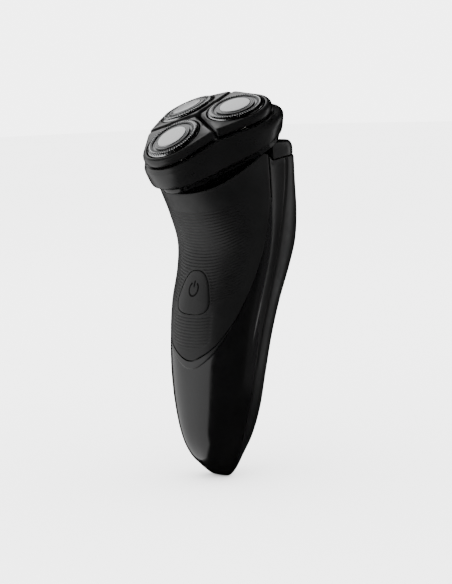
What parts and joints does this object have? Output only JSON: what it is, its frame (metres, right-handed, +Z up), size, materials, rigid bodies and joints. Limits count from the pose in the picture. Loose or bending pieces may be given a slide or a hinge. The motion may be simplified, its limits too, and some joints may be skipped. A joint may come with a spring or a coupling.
{
  "type": "electric shaver",
  "caption": "Black handheld rotary electric shaver: ribbed grip panel, power button, flip-open shaving unit with round floating steel heads and a socket in the tip.",
  "frame": {"origin": "centre of the charging socket mouth in the lower tip of the handle", "axes": "+Z up the handle towards the shaving unit, -Y out of the button side, +X to the right when looking at the button side"},
  "size_m": [0.062, 0.0653, 0.1603],
  "materials": {
    "gloss_black": "high gloss",
    "satin_black": "satin, softly sheened",
    "grip_black": "soft, finely ribbed",
    "button_black": "satin",
    "guard_steel": "polished with fine slots",
    "cap_steel": "brushed",
    "blade_steel": "ground",
    "white_plastic": "natural white moulding",
    "dark_plastic": "matt moulding",
    "board_green": "lacquered",
    "cell_sleeve": "shrink sleeve",
    "contact_brass": "plated",
    "motor_steel": "zinc plated",
    "shaft_steel": "ground"
  },
  "bodies": {
    "handle": {"front_cover": "gloss_black", "grip_panel": "grip_black", "rear_housing": "satin_black", "top_plate": "gloss_black", "rear_shoulder": "gloss_black", "hinge_bracket": "satin_black", "power_switch": "dark_plastic", "circuit_board": "board_green", "battery_cells": "cell_sleeve", "socket_insert": "dark_plastic", "socket_pins": "contact_brass", "motor": "motor_steel", "motor_carrier": "dark_plastic", "carrier_screws": "shaft_steel", "hinge_pin": "shaft_steel"},
    "power_button": {"power_button": "button_black"},
    "release_button": {"release_button": "satin_black"},
    "drive": {"motor_shaft": "shaft_steel", "drive_pinion": "white_plastic"},
    "shaving_unit": {"unit_base": "gloss_black", "hinge_lug": "satin_black", "cutter_frame": "dark_plastic"},
    "lock_knob": {"lock_knob": "dark_plastic"},
    "gear_front": {"gear_front": "white_plastic", "spindle_front": "white_plastic"},
    "pod_front": {"pod_front": "gloss_black"},
    "head_front": {"guard_front": "guard_steel", "cap_front": "cap_steel"},
    "cutter_front": {"cutter_front": "blade_steel", "hub_front": "white_plastic"},
    "gear_right": {"gear_right": "white_plastic", "spindle_right": "white_plastic"},
    "pod_right": {"pod_right": "gloss_black"},
    "head_right": {"guard_right": "guard_steel", "cap_right": "cap_steel"},
    "cutter_right": {"cutter_right": "blade_steel", "hub_right": "white_plastic"},
    "gear_left": {"gear_left": "white_plastic", "spindle_left": "white_plastic"},
    "pod_left": {"pod_left": "gloss_black"},
    "head_left": {"guard_left": "guard_steel", "cap_left": "cap_steel"},
    "cutter_left": {"cutter_left": "blade_steel", "hub_left": "white_plastic"}
  },
  "joints": [
    {"name": "power_press", "type": "slide", "parent": "handle", "child": "power_button", "axis": [0, 1, 0], "range_m": [0, 0.0008], "stiffness_N_per_m": 1500, "springref_m": -0.0006},
    {"name": "release_press", "type": "slide", "parent": "handle", "child": "release_button", "axis": [0, 0.8829, 0.4695], "range_m": [0, 0.0015], "stiffness_N_per_m": 1200, "springref_m": -0.0008},
    {"name": "unit_open", "type": "hinge", "parent": "handle", "child": "shaving_unit", "pos_m": [0, 0.0254, 0.1446], "axis": [-1, 0, 0], "range_deg": [0, 100]},
    {"name": "lock_turn", "type": "hinge", "parent": "shaving_unit", "child": "lock_knob", "pos_m": [0, -0.00139, 0.14195], "axis": [0, -0.4695, 0.8829], "range_deg": [-90, 0]},
    {"name": "drive_spin", "type": "hinge", "parent": "handle", "child": "drive", "pos_m": [0, 0.00095, 0.13754], "axis": [0, -0.4695, 0.8829], "continuous": true},
    {"name": "gear_spin_front", "type": "hinge", "parent": "handle", "child": "gear_front", "pos_m": [0, -0.01323, 0.13], "axis": [0, -0.4695, 0.8829], "continuous": true},
    {"name": "pod_tilt_front", "type": "hinge", "parent": "shaving_unit", "child": "pod_front", "pos_m": [0, -0.01908, 0.1405], "axis": [1, 0, 0], "range_deg": [-3, 3], "stiffness_Nm_per_rad": 0.35},
    {"name": "head_float_front", "type": "slide", "parent": "pod_front", "child": "head_front", "axis": [0, 0.5878, -0.809], "range_m": [0, 0.001], "stiffness_N_per_m": 600, "springref_m": -0.0006},
    {"name": "cutter_spin_front", "type": "hinge", "parent": "head_front", "child": "cutter_front", "pos_m": [0, -0.01908, 0.1405], "axis": [0, -0.5878, 0.809], "continuous": true},
    {"name": "gear_spin_right", "type": "hinge", "parent": "handle", "child": "gear_right", "pos_m": [0.01391, 0.00804, 0.14131], "axis": [0, -0.4695, 0.8829], "continuous": true},
    {"name": "pod_tilt_right", "type": "hinge", "parent": "shaving_unit", "child": "pod_right", "pos_m": [0.01412, 0.00251, 0.15198], "axis": [-0.5, 0.7647, 0.4066], "range_deg": [-3, 3], "stiffness_Nm_per_rad": 0.35},
    {"name": "head_float_right", "type": "slide", "parent": "pod_right", "child": "head_right", "axis": [-0.1205, 0.4035, -0.907], "range_m": [0, 0.001], "stiffness_N_per_m": 600, "springref_m": -0.0006},
    {"name": "cutter_spin_right", "type": "hinge", "parent": "head_right", "child": "cutter_right", "pos_m": [0.01412, 0.00251, 0.15198], "axis": [0.1205, -0.4035, 0.907], "continuous": true},
    {"name": "gear_spin_left", "type": "hinge", "parent": "handle", "child": "gear_left", "pos_m": [-0.01391, 0.00804, 0.14131], "axis": [0, -0.4695, 0.8829], "continuous": true},
    {"name": "pod_tilt_left", "type": "hinge", "parent": "shaving_unit", "child": "pod_left", "pos_m": [-0.01412, 0.00251, 0.15198], "axis": [-0.5, -0.7647, -0.4066], "range_deg": [-3, 3], "stiffness_Nm_per_rad": 0.35},
    {"name": "head_float_left", "type": "slide", "parent": "pod_left", "child": "head_left", "axis": [0.1205, 0.4035, -0.907], "range_m": [0, 0.001], "stiffness_N_per_m": 600, "springref_m": -0.0006},
    {"name": "cutter_spin_left", "type": "hinge", "parent": "head_left", "child": "cutter_left", "pos_m": [-0.01412, 0.00251, 0.15198], "axis": [-0.1205, -0.4035, 0.907], "continuous": true}
  ],
  "couplings": [
    {"joint": "gear_spin_front", "follows": "drive_spin", "ratio": -0.81818},
    {"joint": "cutter_spin_front", "follows": "drive_spin", "ratio": -0.81818},
    {"joint": "gear_spin_right", "follows": "drive_spin", "ratio": -0.81818},
    {"joint": "cutter_spin_right", "follows": "drive_spin", "ratio": -0.81818},
    {"joint": "gear_spin_left", "follows": "drive_spin", "ratio": -0.81818},
    {"joint": "cutter_spin_left", "follows": "drive_spin", "ratio": -0.81818}
  ]
}
